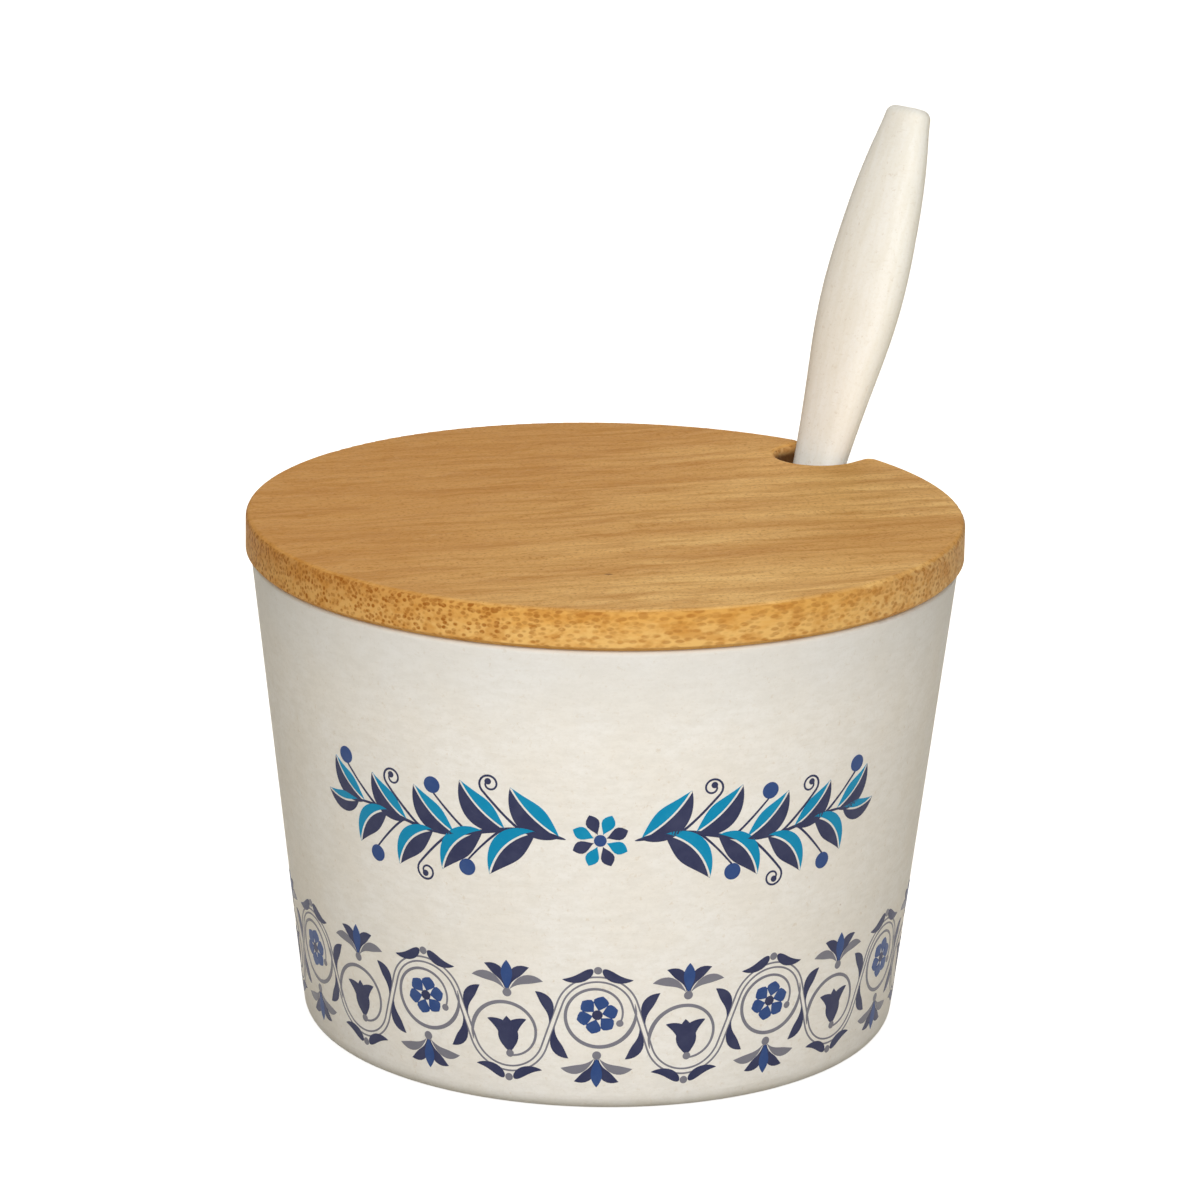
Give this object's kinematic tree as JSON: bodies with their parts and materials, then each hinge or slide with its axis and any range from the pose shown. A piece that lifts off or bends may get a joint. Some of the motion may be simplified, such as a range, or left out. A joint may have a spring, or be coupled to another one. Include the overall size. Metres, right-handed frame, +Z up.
{
  "type": "honey dish",
  "caption": "Round cone-sided honey dish with a loose bamboo lid, notched for the handle of the small spoon that stands in it.",
  "frame": {"origin": "centre of the dish's foot, on the plane that it stands on", "axes": "+Z up along the dish's own axis; the decorated front faces -Y; the spoon leans out to the back right, at 47.5 degrees from +X towards +Y"},
  "size_m": [0.1, 0.1, 0.1221],
  "materials": {
    "bamboo_fibre": "satin moulded bamboo-fibre composite with fine tan flecks",
    "bamboo_board": "oiled satin bamboo with fine straight grain"
  },
  "bodies": {
    "dish": {"dish": "bamboo_fibre"},
    "lid": {"lid": "bamboo_board"},
    "spoon": {"spoon": "bamboo_fibre"}
  },
  "joints": [
    {"name": "lid_lift", "type": "slide", "parent": "dish", "child": "lid", "axis": [0, 0, 1], "range_m": [0, 0.065]},
    {"name": "spoon_lift", "type": "slide", "parent": "dish", "child": "spoon", "axis": [0.2311, 0.2522, 0.9397], "range_m": [0, 0.03]}
  ]
}
